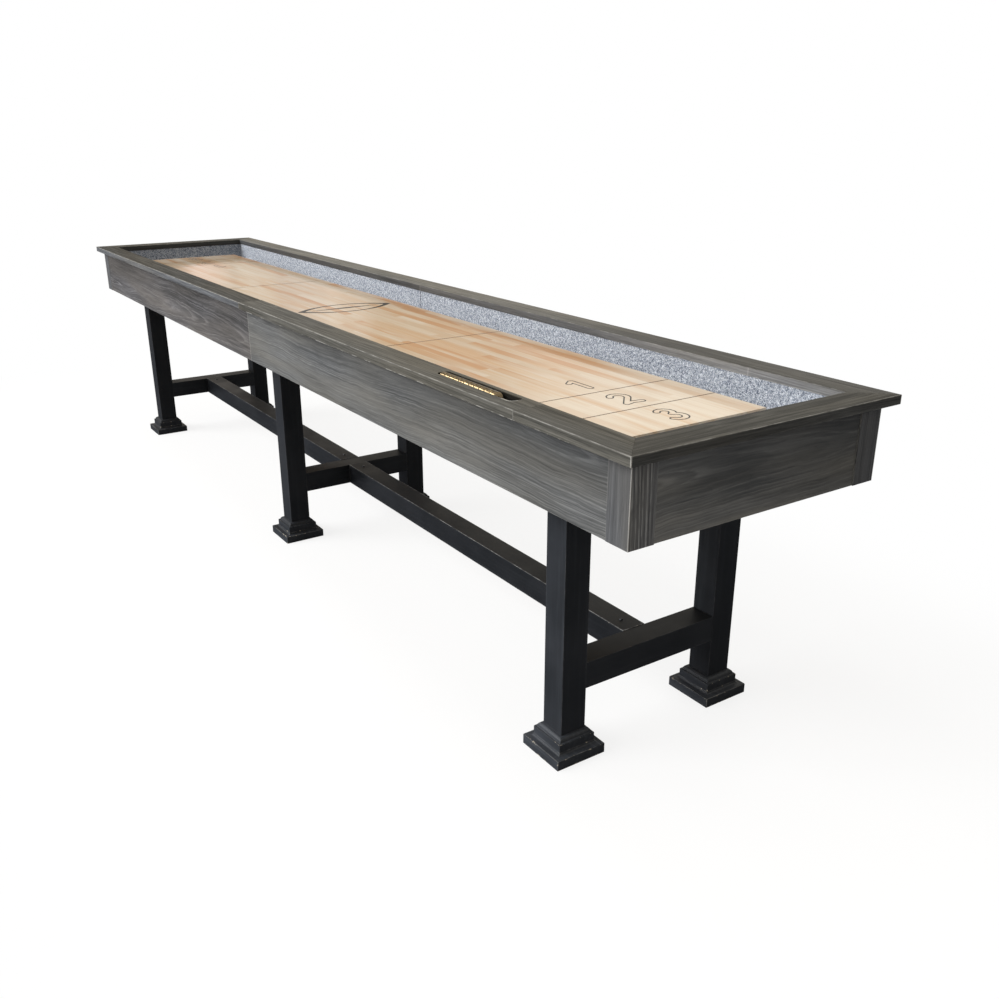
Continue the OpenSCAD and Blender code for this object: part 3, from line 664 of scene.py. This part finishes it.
def maple(name):
    """A butcher block of maple strips under a thick clear coat."""
    g = Graph(name)
    x, y, z = g.xyz
    row_place = g.math("DIVIDE", g.sub(y, FIELD_LOW.y), STRIP_WIDTH)
    row = g.math("FLOOR", row_place)
    board_length = g.add(g.mul(g.random(row, 3.7), 0.45), 0.36)
    board_place = g.add(g.math("DIVIDE", x, board_length), g.mul(g.random(row, 8.3), 9.0))
    board = g.math("FLOOR", board_place)
    pick = g.random(g.add(board, 31.0), row)
    pick_two = g.random(g.add(board, 7.0), g.add(row, 57.0))

    local = g.join(
        g.add(x, g.mul(pick, 11.0)), g.add(y, g.mul(pick_two, 7.0)), g.add(z, g.mul(pick, 5.0))
    )
    streak = g.noise(g.stretch(local, (2.4, 46.0, 46.0)), 1.0, 2.0, 0.5)
    fibre = g.noise(g.stretch(local, (9.0, 420.0, 420.0)), 1.0, 2.0, 0.6)
    heart = g.noise(g.stretch(local, (2.4, 22.0, 22.0), (9.0, 2.0, 4.0)), 1.0, 2.0, 0.5)
    drift = g.noise(g.stretch(g.place, (1.7, 24.0, 24.0), (2.0, 6.0, 1.0)), 1.0, 2.0, 0.55)

    base = g.ramp(pick, MAPLE_STRIPS)
    # The right end is cut from paler boards.
    pale = g.ease(x, 0.95, 1.45, 0.0, 0.78)
    base = g.mix(pale, base, MAPLE_PALE)
    streak_share = g.ease(x, 0.95, 1.3, 0.55, 0.16)
    colour = g.mix(g.ease(streak, 0.50, 0.72, 0.0, streak_share), base, MAPLE_STREAK)
    colour = g.mix(g.ease(streak, 0.46, 0.28, 0.0, 0.5), colour, MAPLE_LIGHT_STREAK)
    colour = g.mix(g.ease(drift, 0.50, 0.68, 0.0, 0.5), colour, MAPLE_DRIFT)
    # Golden patches show round the middle of the right half.
    golden = g.noise(g.stretch(g.place, (2.6, 12.0, 12.0), (5.0, 1.0, 3.0)), 1.0, 2.0, 0.5)
    golden_share = g.ease(g.absolute(g.sub(x, GOLDEN_MIDDLE)), 0.7, 0.3, 0.0, 0.45)
    colour = g.mix(g.mul(g.ease(golden, 0.46, 0.62), golden_share), colour, MAPLE_GOLD)
    # Brown heartwood shows in a few boards, more of them round the middle of the right half.
    middle = g.ease(g.absolute(g.sub(x, BROWN_MIDDLE)), 0.75, 0.15, 0.0, 0.36)
    brown = g.ease(g.add(pick_two, middle), 0.68, 0.97)
    brown = g.mul(brown, g.ease(heart, 0.36, 0.60, 0.15, 1.0))
    brown = g.mul(brown, g.ease(x, 1.0, 1.3, 1.0, 0.35))
    colour = g.mix(g.mul(brown, 0.9), colour, MAPLE_HEART)
    colour = g.mix(g.ease(fibre, 0.5, 0.8, 0.0, 0.2), colour, MAPLE_FIBRE)

    colour = g.scale_colour(colour, g.ease(x, 0.9, 1.6, 0.91, 0.98))

    # Thin glue lines round each board.
    row_edge = g.mul(g.math("PINGPONG", row_place, 0.5), STRIP_WIDTH)
    board_edge = g.mul(g.math("PINGPONG", board_place, 0.5), board_length)
    glue = g.ease(g.low(row_edge, board_edge), 0.5 * MM, 0.1 * MM)
    colour = g.mix(g.mul(glue, 0.3), colour, GLUE)

    normal = g.bump(fibre, 0.05, 0.1 * MM)
    roughness = g.ease(fibre, 0.2, 0.8, 0.30, 0.38)
    return g.finish(colour, roughness, normal, Specular_IOR_Level=0.3, Coat_Weight=1.0,
                    Coat_Roughness=0.07, Coat_IOR=1.45)


# Where the thin lines cross the field, on either side of the middle.
LINE_PLACES = (0.6155, 1.3195, 1.4695)


def ink(name):
    """Dark brown print. The thin lines across the field are paler than the figures."""
    g = Graph(name)
    across = g.absolute(g.xyz[X])
    nearest = g.low(*(g.absolute(g.sub(across, place)) for place in LINE_PLACES))
    line = g.ease(nearest, 5 * MM, 3 * MM)
    speckle = g.noise(g.place, 900.0, 2.0)
    figure = g.mix(g.ease(speckle, 0.4, 0.7), (10, 7, 5), (22, 16, 11))
    faint = g.mix(g.ease(speckle, 0.4, 0.7), (66, 48, 32), (86, 66, 46))
    return g.finish(g.mix(line, figure, faint), g.ease(speckle, 0.3, 0.7, 0.3, 0.4),
                    g.bump(speckle, 0.05, 0.1 * MM), Specular_IOR_Level=0.1, Coat_Weight=0.4,
                    Coat_Roughness=0.07, Coat_IOR=1.45)


PAINT = ((23, 25, 28), (32, 34, 38))
PAINT_FIBRE = (43, 46, 50)
PAINT_RUBBED = (150, 150, 150)
BARE_WOOD = (176, 168, 154)


def black_paint(name, grain, edges, seed, wear=0.3, tone_and_painted_light=no_painted_light, chipped=0.70):
    """Satin black paint on wood, rubbed thin on its edges. Paint is chipped off near the edges
    where the noise is over chipped."""
    g = Graph(name)
    scales = [110.0, 110.0, 110.0]
    scales[grain] = 4.0
    shift = (seed * 2.3, seed * 4.1, seed * 1.7)
    fibre = g.noise(g.stretch(g.place, scales, shift), 1.0, 3.0, 0.6)
    mottle = g.noise(g.stretch(g.place, (7.0, 7.0, 7.0), shift), 1.0, 3.0)
    peel = g.noise(g.place, 700.0, 2.0)
    colour = g.mix(g.ease(mottle, 0.3, 0.7), *PAINT)
    colour = g.mix(g.ease(fibre, 0.45, 0.75, 0.0, 0.4), colour, PAINT_FIBRE)
    # Painted light and shade on the base.
    colour = g.scale_colour(colour, tone_and_painted_light(g))
    distance = edges(g)
    breaks = g.noise(g.stretch(g.place, (1, 1, 1), shift), 30.0, 4.0, 0.7)
    worn = g.mul(g.ease(distance, 1.9 * MM, 0.6 * MM), g.ease(breaks, 0.4, 0.65, 0.2, 1.0))
    colour = g.mix(g.mul(worn, wear), colour, PAINT_RUBBED)
    chips = g.noise(g.stretch(g.place, (1, 1, 1), shift), 85.0, 3.0, 0.6)
    chip = g.ease(chips, chipped, chipped + 0.03)
    chip = g.mul(chip, g.ease(distance, 3.2 * MM, 1.6 * MM))
    colour = g.mix(g.mul(chip, min(1.0, 3 * wear)), colour, BARE_WOOD)
    height = g.add(g.mul(fibre, 0.7), g.mul(peel, 0.3))
    return g.finish(colour, g.ease(mottle, 0.3, 0.7, 0.40, 0.52), g.bump(height, 0.2, 0.4 * MM),
                    Specular_IOR_Level=0.25)


def leg_painted_light(g):
    """Painted light and shade on the legs: lighter towards the right end, and darker on the far
    side and on the faces that look along +X."""
    normal = g.normal()
    right_face_shade = g.ease(g.xyz[X], -1.5, 1.5, 0.95, 0.64)
    far_side_shade = g.ease(g.xyz[Y], 0.0, 0.1, 1.0, 0.72)
    near = g.mul(far_side_shade, g.ease(normal[X], 0.6, 0.9, 1.0, right_face_shade))
    return g.mul(g.ease(g.xyz[X], -1.5, 1.5, 0.72, 1.85), near)


def foot_painted_light(g):
    # Painted light: the feet are shaded as the legs are, and made lighter still.
    return g.mul(leg_painted_light(g), 1.85)


def stretcher_painted_shade(g):
    """Painted shade: stretchers are darker on top, under the cabinet."""
    normal = g.normal()
    top = g.ease(g.xyz[X], 1.30, 1.45, 0.42, 0.31)
    return g.ease(normal[Z], 0.6, 0.9, 1.0, top)


FOOT_SPACING = 1.5
FOOT_SIDE = 0.2235
# Half the width, bottom, top, and how much less the edges are rubbed.
FOOT_TIERS = ((65.5 * MM, 0.0, 24 * MM, 0.0), (48.5 * MM, 30 * MM, 49.5 * MM, 1.0 * MM))


def foot_edge_distance(g):
    """How far a point on a foot is from the foot's own edges: two square tiers."""
    x = g.math("PINGPONG", g.math("ADD", g.xyz[X], 4 * FOOT_SPACING), FOOT_SPACING / 2)
    y = g.absolute(g.sub(g.absolute(g.xyz[Y]), FOOT_SIDE))
    found = []
    for half, bottom, top, less in FOOT_TIERS:
        to_x = g.absolute(g.sub(half, x))
        to_y = g.absolute(g.sub(half, y))
        to_z = g.low(g.absolute(g.sub(g.xyz[Z], bottom)),
                     g.absolute(g.sub(top, g.xyz[Z])))
        found.append(g.add(g.high(g.low(to_x, to_y), g.low(g.high(to_x, to_y), to_z)), less))
    return g.low(*found)


def metal(name, dark, light, roughness, grain, ends=None, **constants):
    """Bare metal with fine turning or rolling marks round the grain axis. ends is the colour
    of the faces that look along that axis, where they are sawn and dull."""
    g = Graph(name)
    scales = [40.0, 40.0, 40.0]
    scales[grain] = 2600.0
    marks = g.noise(g.stretch(g.place, scales), 1.0, 2.0)
    stain = g.noise(g.place, 90.0, 3.0)
    colour = g.mix(g.ease(stain, 0.3, 0.7), dark, light)
    rough = g.add(g.ease(stain, 0.3, 0.7, roughness + 0.05, roughness - 0.03),
                  g.mul(g.sub(marks, 0.5), 0.08))
    shine = 1.0
    if ends:
        facing = g.normal()[grain]
        end = g.ease(g.absolute(facing), 0.8, 0.95)
        colour = g.mix(end, colour, ends)
        rough = g.high(rough, g.mul(end, 0.6))
        shine = g.sub(1.0, g.mul(end, 0.7))
    g.put(g.shader.inputs["Metallic"], shine)
    return g.finish(colour, rough, g.bump(marks, 0.05, 0.02 * MM), **constants)


ZINC = ((150, 152, 156), (186, 188, 190))
BLACK_STEEL = ((40, 41, 44), (66, 67, 70))
BRASS = ((104, 88, 62), (138, 120, 88))
BRASS_ENDS = (214, 192, 156)
BLACK_SCREW_HEIGHT = 0.3


def screw_steel(name):
    """Zinc-plated screws; those in the black base are black."""
    g = Graph(name)
    stain = g.noise(g.place, 240.0, 3.0)
    zinc = g.mix(g.ease(stain, 0.3, 0.7), *ZINC)
    black = g.mix(g.ease(stain, 0.3, 0.7), *BLACK_STEEL)
    high = g.math("GREATER_THAN", g.xyz[Z], BLACK_SCREW_HEIGHT)
    return g.finish(g.mix(high, black, zinc), g.ease(stain, 0.3, 0.7, 0.40, 0.30),
                    g.bump(stain, 0.1, 0.1 * MM), Metallic=1.0)


def softwood(name, grain, seed):
    """Raw pale timber of the hidden frame under the board."""
    g = Graph(name)
    scales = [90.0, 90.0, 90.0]
    scales[grain] = 3.0
    fibre = g.noise(g.stretch(g.place, scales, (seed, seed, seed)), 1.0, 3.0, 0.6)
    broad = [18.0, 18.0, 18.0]
    broad[grain] = 1.0
    cloud = g.noise(g.stretch(g.place, broad, (seed, 2.0, 5.0)), 1.0, 2.0)
    colour = g.ramp(
        fibre, [(0.25, (158, 122, 84)), (0.5, (198, 164, 122)), (0.75, (222, 194, 154))]
    )
    colour = g.mix(g.ease(cloud, 0.35, 0.65, 0.0, 0.35), colour, (176, 140, 100))
    return g.finish(colour, g.ease(fibre, 0.3, 0.7, 0.72, 0.62), g.bump(fibre, 0.3, 0.4 * MM),
                    Specular_IOR_Level=0.3)


# ---------------------------------------------------------------- dressing the CAD nodes


def geometry_group(name):
    """An empty group of geometry nodes, with its input and its output node."""
    group = bpy.data.node_groups.new(name, "GeometryNodeTree")
    for way in ("INPUT", "OUTPUT"):
        group.interface.new_socket("Geometry", in_out=way, socket_type="NodeSocketGeometry")
    return group, group.nodes.new("NodeGroupInput"), group.nodes.new("NodeGroupOutput")


def edge_weights(name, long_edge, short_share):
    """A node group that marks the sharp edges to bevel: in full where they are long, and by
    short_share where they are short."""
    group, source, sink = geometry_group(name)
    nodes, links = group.nodes, group.links
    ends = nodes.new("GeometryNodeInputMeshEdgeVertices")
    length = nodes.new("ShaderNodeVectorMath")
    length.operation = "DISTANCE"
    links.new(ends.outputs["Position 1"], length.inputs[0])
    links.new(ends.outputs["Position 2"], length.inputs[1])
    share = nodes.new("ShaderNodeMapRange")
    share.inputs["From Min"].default_value = long_edge * 0.9
    share.inputs["From Max"].default_value = long_edge
    share.inputs["To Min"].default_value = short_share
    share.inputs["To Max"].default_value = 1.0
    links.new(length.outputs["Value"], share.inputs["Value"])
    angle = nodes.new("GeometryNodeInputMeshEdgeAngle")
    sharp = nodes.new("ShaderNodeMath")
    sharp.operation = "GREATER_THAN"
    sharp.inputs[1].default_value = SHARP_ANGLE
    links.new(angle.outputs["Unsigned Angle"], sharp.inputs[0])
    weight = nodes.new("ShaderNodeMath")
    weight.operation = "MULTIPLY"
    links.new(sharp.outputs[0], weight.inputs[0])
    links.new(share.outputs["Result"], weight.inputs[1])
    store = nodes.new("GeometryNodeStoreNamedAttribute")
    store.data_type = "FLOAT"
    store.domain = "EDGE"
    store.inputs["Name"].default_value = "bevel_weight_edge"
    links.new(source.outputs[0], store.inputs["Geometry"])
    links.new(weight.outputs[0], store.inputs["Value"])
    links.new(store.outputs["Geometry"], sink.inputs[0])
    return group


# The near rail board's two lengths close on a hairline at HAIRLINE_X. Here they become one:
# their touching end faces are taken out, and points closer than HAIRLINE are joined.
HAIRLINE = 0.06 * MM
HAIRLINE_X = 1.11
SHARP_ANGLE = math.radians(35)
LONG_EDGE = 0.1
SHORT_EDGE_SHARE = 0.2


def without_end_faces(name, place):
    """A node group that takes out the faces that lie across the table at place."""
    group, source, sink = geometry_group(name)
    nodes, links = group.nodes, group.links
    position = nodes.new("GeometryNodeInputPosition")
    split = nodes.new("ShaderNodeSeparateXYZ")
    links.new(position.outputs[0], split.inputs[0])
    near = nodes.new("ShaderNodeMath")
    near.operation = "COMPARE"
    near.inputs[1].default_value = place
    near.inputs[2].default_value = HAIRLINE
    links.new(split.outputs[X], near.inputs[0])
    delete = nodes.new("GeometryNodeDeleteGeometry")
    delete.domain = "FACE"
    links.new(source.outputs[0], delete.inputs["Geometry"])
    links.new(near.outputs[0], delete.inputs["Selection"])
    links.new(delete.outputs[0], sink.inputs[0])
    return group


def round_edges(node, width, segments=3, weights=None):
    """Rounds a node's sharp edges with modifiers, which leave its mesh as it is."""
    obj = NODES[node]
    weld = obj.modifiers.new("weld", "WELD")
    weld.merge_threshold = HAIRLINE
    if weights:
        obj.modifiers.new("weights", "NODES").node_group = weights
    bevel = obj.modifiers.new("round", "BEVEL")
    bevel.width = width
    bevel.segments = segments
    bevel.limit_method = "WEIGHT" if weights else "ANGLE"
    bevel.angle_limit = SHARP_ANGLE
    bevel.use_clamp_overlap = True
    bevel.harden_normals = False
    smooth = obj.modifiers.new("smooth", "WEIGHTED_NORMAL")
    smooth.mode = "FACE_AREA"
    smooth.keep_sharp = False


def dress(node, material):
    for slot in NODES[node].material_slots:
        slot.material = material


def is_base_timber(node):
    return node.startswith("leg_") and node != "leg_plates" or "stretcher" in node


def box_edges(node):
    """Says how far a point is from the nearest edge of the node's box."""
    low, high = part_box(node)
    return lambda g: edge_distance(g, low, high)


# How much the edges of the base's timbers are rubbed, where it isn't PLAIN_EDGE_WEAR.
EDGE_WEAR = {"centre_stretcher_right": 0.75, "centre_stretcher_left": 0.45}
PLAIN_EDGE_WEAR = 0.1
SEED_STEP = 1.3


RAIL_ROUND = 2.0 * MM
PANEL_ROUND = 1.2 * MM
POST_ROUND = 1.5 * MM
BASE_ROUND = 2.5 * MM
FEET_ROUND = 1.5 * MM
FELT_ROUND = 1.0 * MM
PLAYFIELD_ROUND = 1.0 * MM
BEAD_ROUND = 0.8 * MM


def dress_oak(weights):
    for node, (look, grain, seed, tone_and_painted_light) in RAIL_LOOKS.items():
        wear = scorer_rail_wear_and_highlights if node == SCORER_RAIL else rail_wear_and_highlights
        tone_and_painted_light = add_painted_slot_shade(tone_and_painted_light) if node == SCORER_RAIL else tone_and_painted_light
        dress(node, grey_oak(node, node, look, grain, Z, seed, wear, tone_and_painted_light=tone_and_painted_light))
        if node == SCORER_RAIL:
            closed = without_end_faces("without_end_faces", HAIRLINE_X)
            NODES[node].modifiers.new("closed", "NODES").node_group = closed
        round_edges(node, RAIL_ROUND, weights=weights)
    for node, (look, grain, face, seed, tone_and_painted_light) in PANEL_LOOKS.items():
        dress(node, grey_oak(node, node, look, grain, face, seed, tone_and_painted_light=tone_and_painted_light))
        round_edges(node, PANEL_ROUND, weights=weights)
    for node, (look, seed, tone_and_painted_light) in POST_LOOKS.items():
        bold = on_end_face if look is POST_BOLD else None
        dress(node, grey_oak(node, node, look, Z, Y, seed, post_wear, bold, tone_and_painted_light))
        round_edges(node, POST_ROUND, weights=weights)


def other_materials():
    """The material of each node that isn't grey oak."""
    felt_material = felt("felt")
    raw_beams = softwood("beam_timber", X, 1.0)
    raw_bearers = softwood("bearer_timber", Y, 2.0)
    brass = metal("brass", *BRASS, 0.14, X, ends=BRASS_ENDS)
    steel = metal("zinc_steel", *ZINC, 0.36, Y)
    plain = {
        "gutter_floors": felt_material,
        "cradle_beams": raw_beams,
        "cross_bearers": raw_bearers,
        "playfield": maple("maple"),
        "playfield_markings": ink("ink"),
        "leg_plates": steel,
        "fixing_screws": screw_steel("screw_steel"),
        "adjuster_brackets": steel,
        "scorer_rod": brass,
        "feet": black_paint("black_feet", X, foot_edge_distance, 3.0, 0.7, foot_painted_light, 0.61),
    }
    for node in NODES:
        if node.startswith("liner_"):
            plain[node] = felt_material
        elif node.startswith("bead_"):
            plain[node] = brass
        elif node.startswith("adjuster_bolt"):
            plain[node] = steel
        elif is_base_timber(node):
            tone_and_painted_light = stretcher_painted_shade if "stretcher" in node else leg_painted_light
            plain[node] = black_paint(
                "black_" + node, longest_axis(node), box_edges(node), len(plain) * SEED_STEP,
                EDGE_WEAR.get(node, PLAIN_EDGE_WEAR), tone_and_painted_light
            )
        elif node == "scorer_tray":
            plain[node] = black_paint("black_tray", X, box_edges(node), 5.0)
    return plain


def round_others(node, weights):
    if is_base_timber(node):
        round_edges(node, BASE_ROUND, weights=weights)
    elif node == "feet":
        round_edges(node, FEET_ROUND)
    elif node.startswith("liner_") or node == "gutter_floors":
        round_edges(node, FELT_ROUND, 2)
    elif node == "playfield":
        round_edges(node, PLAYFIELD_ROUND)
    elif node.startswith("bead_"):
        round_edges(node, BEAD_ROUND)


def dress_table():
    weights = edge_weights("edge_weights", LONG_EDGE, SHORT_EDGE_SHARE)
    dress_oak(weights)
    for node, material in other_materials().items():
        dress(node, material)
        round_others(node, weights)


# ---------------------------------------------------------------- studio

FLOOR_HALF = 30.0
# The floor's colour for the light it throws back, and as the table's gloss mirrors it.
FLOOR_BOUNCE = (168, 168, 168)
FLOOR_IN_GLOSS = (102, 107, 118)
# The dome's colour, and the heights (z of the direction) between which it takes over.
DOME = (0.64, 0.61, 0.55)
DOME_START = 0.14
DOME_FULL = 0.34
# The world low down, as a row of tall screens: (direction in degrees from -X towards +Y, colour
# there). The camera sees plain white in their place.
SCREEN_SPAN = 90.0
SCREENS = (
    (0.0, (0.26, 0.21, 0.17)), (16.0, (0.26, 0.21, 0.17)), (17.0, (0.86, 0.66, 0.60)),
    (18.5, (0.62, 0.54, 0.48)), (18.9, (0.42, 0.39, 0.35)), (19.4, (0.54, 0.50, 0.44)),
    (21.0, (0.52, 0.48, 0.43)), (21.5, (0.42, 0.38, 0.37)), (23.8, (0.54, 0.51, 0.49)),
    (24.3, (0.64, 0.60, 0.56)), (25.0, (0.52, 0.48, 0.44)), (26.0, (0.48, 0.44, 0.40)),
    (26.8, (0.26, 0.21, 0.15)), (34.0, (0.32, 0.28, 0.24)), (37.5, (0.74, 0.72, 0.68)),
    (41.6, (0.76, 0.74, 0.72)), (42.2, (0.52, 0.51, 0.51)), (43.2, (0.52, 0.51, 0.51)),
    (43.8, (0.82, 0.81, 0.78)), (56.0, (0.74, 0.72, 0.68)), (66.0, (0.30, 0.28, 0.26)),
    (90.0, (0.29, 0.29, 0.30)),
)


def make_floor():
    """A pale floor that fades into the white background a little way from the table."""
    mesh = bpy.data.meshes.new("floor")
    corners = [(-1, -1), (1, -1), (1, 1), (-1, 1)]
    mesh.from_pydata([(x * FLOOR_HALF, y * FLOOR_HALF, 0) for x, y in corners], [], [(0, 1, 2, 3)])
    floor = bpy.data.objects.new("floor", mesh)
    bpy.context.scene.collection.objects.link(floor)
    g = Graph("floor")
    # A faint random change in the floor's lightness.
    tone_and_painted_light = g.noise(g.place, 3.0, 2.0)
    rays = g.nodes.new("ShaderNodeLightPath").outputs
    path = rays["Is Camera Ray"]
    seen = g.mix(tone_and_painted_light, (248, 248, 248), (250, 250, 250))
    bounce = g.mix(rays["Is Glossy Ray"], FLOOR_BOUNCE, FLOOR_IN_GLOSS)
    material = g.finish(g.mix(path, bounce, seen), 0.9, Specular_IOR_Level=0.1)

    past_end = g.high(g.sub(g.absolute(g.xyz[X]), HALF_LENGTH), 0.0)
    past_side = g.high(g.sub(g.absolute(g.xyz[Y]), HALF_WIDTH), 0.0)
    away = g.root_of_squares(past_end, past_side)
    white = g.nodes.new("ShaderNodeEmission")
    share = g.nodes.new("ShaderNodeMixShader")
    g.put(share.inputs[0], g.mul(path, g.ease(away, 0.1, 1.2, 0.82, 1.0)))
    g.put(share.inputs[1], g.shader.outputs[0])
    g.put(share.inputs[2], white.outputs[0])
    output = next(node for node in g.nodes if node.type == "OUTPUT_MATERIAL")
    g.put(output.inputs[0], share.outputs[0])
    floor.data.materials.append(material)


def make_world():
    """A soft dome above a row of screens. The camera sees white."""
    world = bpy.data.worlds.new("studio")
    world.use_nodes = True
    nodes, links = world.node_tree.nodes, world.node_tree.links

    def node(kind, inputs, **settings):
        made = nodes.new(kind)
        for name, value in settings.items():
            setattr(made, name, value)
        for socket, value in inputs:
            if isinstance(value, bpy.types.NodeSocket):
                links.new(value, made.inputs[socket])
            else:
                made.inputs[socket].default_value = value
        return made

    direction = node("ShaderNodeTexCoord", ()).outputs["Generated"]
    x, y, z = node("ShaderNodeSeparateXYZ", ((0, direction),)).outputs
    back = node("ShaderNodeMath", ((0, x), (1, -1.0)), operation="MULTIPLY").outputs[0]
    angle = node("ShaderNodeMath", ((0, y), (1, back)), operation="ARCTAN2").outputs[0]
    turn = node("ShaderNodeMath", ((0, angle), (1, math.radians(SCREEN_SPAN))),
                operation="DIVIDE").outputs[0]
    screens = node("ShaderNodeValToRGB", ((0, turn),))
    points = screens.color_ramp.elements
    while len(points) < len(SCREENS):
        points.new(0.5)
    for point, (place, colour) in zip(points, SCREENS):
        point.position = place / SCREEN_SPAN
        point.color = (*colour, 1)
    height = node("ShaderNodeMapRange", (("Value", z), ("From Min", DOME_START),
                                         ("From Max", DOME_FULL)),
                  interpolation_type="SMOOTHSTEP").outputs["Result"]
    room = node("ShaderNodeMix", ((0, height), (6, screens.outputs[0]), (7, (*DOME, 1))),
                data_type="RGBA").outputs[2]
    seen = node("ShaderNodeLightPath", ()).outputs["Is Camera Ray"]
    both = node("ShaderNodeMix", ((0, seen), (6, room), (7, (1, 1, 1, 1))), data_type="RGBA")
    links.new(both.outputs[2], nodes["Background"].inputs["Color"])
    bpy.context.scene.world = world


def soft_light(name, place, target, width, height, radiance, glossy=True):
    """A rectangular softbox. radiance is how bright its face looks, and 1 is paper white."""
    data = bpy.data.lights.new(name, "AREA")
    data.shape = "RECTANGLE"
    data.size = width
    data.size_y = height
    data.energy = radiance * math.pi * width * height
    light = bpy.data.objects.new(name, data)
    light.location = place
    light.rotation_euler = (Vector(target) - Vector(place)).to_track_quat("-Z", "Y").to_euler()
    light.visible_camera = False
    light.visible_glossy = glossy
    bpy.context.scene.collection.objects.link(light)


def key_light(towards, irradiance, softness, colour):
    """A very broad far light. towards points at it, and softness is its width in degrees."""
    data = bpy.data.lights.new("key", "SUN")
    data.energy = irradiance * math.pi
    data.angle = math.radians(softness)
    data.color = colour
    light = bpy.data.objects.new("key", data)
    light.rotation_euler = Vector(towards).to_track_quat("Z", "Y").to_euler()
    bpy.context.scene.collection.objects.link(light)


def make_lights():
    key_light((-0.3, -0.8, 0.5), 0.92, 40, (0.98, 0.99, 1.0))
    soft_light("front_left", (-2.2, -2.8, 1.7), (-0.6, 0, 0.5), 1.6, 1.6, 3.3, glossy=False)
    soft_light("back", (0.0, 3.4, 0.7), (0, 0, 0.6), 3.0, 1.0, 1.4, glossy=False)
    soft_light("bead_glint", (-1.1, -1.25, 2.3), (1.3, -0.32, 0.8), 0.9, 0.3, 11.0)
    soft_light("ceiling", (0.3, -0.35, 2.9), (0.3, -0.35, 0.0), 3.6, 0.45, 2.2)


# ---------------------------------------------------------------- the whole scene

bpy.context.scene.view_settings.view_transform = "Standard"
make_camera()
make_world()
make_lights()
make_floor()
dress_table()
